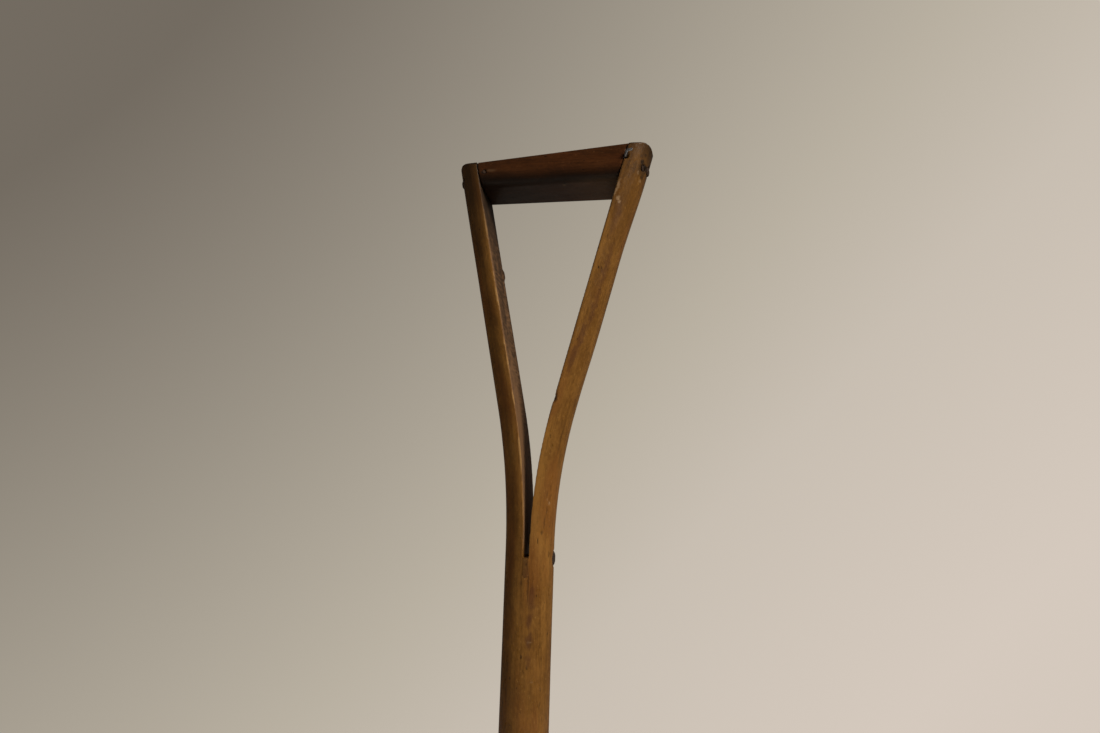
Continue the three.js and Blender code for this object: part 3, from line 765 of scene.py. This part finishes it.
def make_slip(material):
    mesh, points, edges = fine_copy("kerf_slip", SLIP_VOXEL)
    normals = normals_of(mesh, points)
    edge = edge_wear(points, edges, normals, 1)
    points = (points - SLIP_TOP) * SLIP_SWELLING + SLIP_TOP
    store(mesh, "grain", points)
    store(mesh, "edge", np.minimum(edge, 0))
    for name in ("grime_and_shade", "pale", "red", "sawn", "end", "tone"):
        store(mesh, name, np.zeros(len(points)))
    finish_piece("kerf_slip_wood", mesh, points, material, "slip_wood", "kerf_slip")


def make_metal(node, material, slot):
    mesh, points, edges = fine_copy(node, METAL_VOXEL)
    points = worn(points, edges, WEAR_ROUNDS)
    normals = normals_of(mesh, points)
    beaten = noise_at(points, 2.2, 5) * 0.12 + noise_at(points, 0.8, 6) * 0.04
    points = points + normals * (beaten - METAL_SET_BACK)[:, None]
    finish_piece(node + "_steel", mesh, points, material, slot, node)


make_world()
make_floor()
make_lights()
make_camera()
bpy.context.scene.view_settings.view_transform = "Standard"

shaft_wood = wood_material(
    "varnished_ash",
    light=(0.240, 0.112, 0.024),
    mid=(0.140, 0.0615, 0.0120),
    dark=(0.060, 0.025, 0.0055),
    pith=(-38.0, 62.0, 0.0),
    ring=2.6,
    gloss=0.27,
    shine=0.26,
)
grip_wood = wood_material(
    "dark_grip",
    light=(0.094, 0.033, 0.009),
    mid=(0.055, 0.0184, 0.0054),
    dark=(0.023, 0.0088, 0.0034),
    pith=(30.0, 620.0, 0.0),
    ring=2.2,
    gloss=0.30,
    shine=0.12,
)
slip_wood = wood_material(
    "reddish_slip",
    light=(0.172, 0.079, 0.018),
    mid=(0.110, 0.048, 0.0105),
    dark=(0.056, 0.023, 0.0053),
    pith=(40.0, 0.0, 0.0),
    ring=1.6,
    gloss=0.50,
    shine=0.25,
)
old_steel = metal_material(
    "old_steel",
    bright=(0.30, 0.31, 0.33),
    dark=(0.17, 0.175, 0.185),
    rust=(0.08, 0.05, 0.035),
    roughness=0.46,
    rusty=0.06,
)
rusty_steel = metal_material(
    "rusty_steel",
    bright=(0.10, 0.085, 0.078),
    dark=(0.05, 0.040, 0.036),
    rust=(0.035, 0.018, 0.011),
    roughness=0.55,
    rusty=0.28,
)

make_shaft(shaft_wood)
make_grip(grip_wood)
make_slip(slip_wood)
for node in ("grip_rod", "side_nail_left", "side_nail_right", "top_brad_left", "crotch_rivet",
             "crotch_burr"):
    make_metal(node, rusty_steel, "rusty_steel")
make_metal("top_brad_right", old_steel, "old_steel")
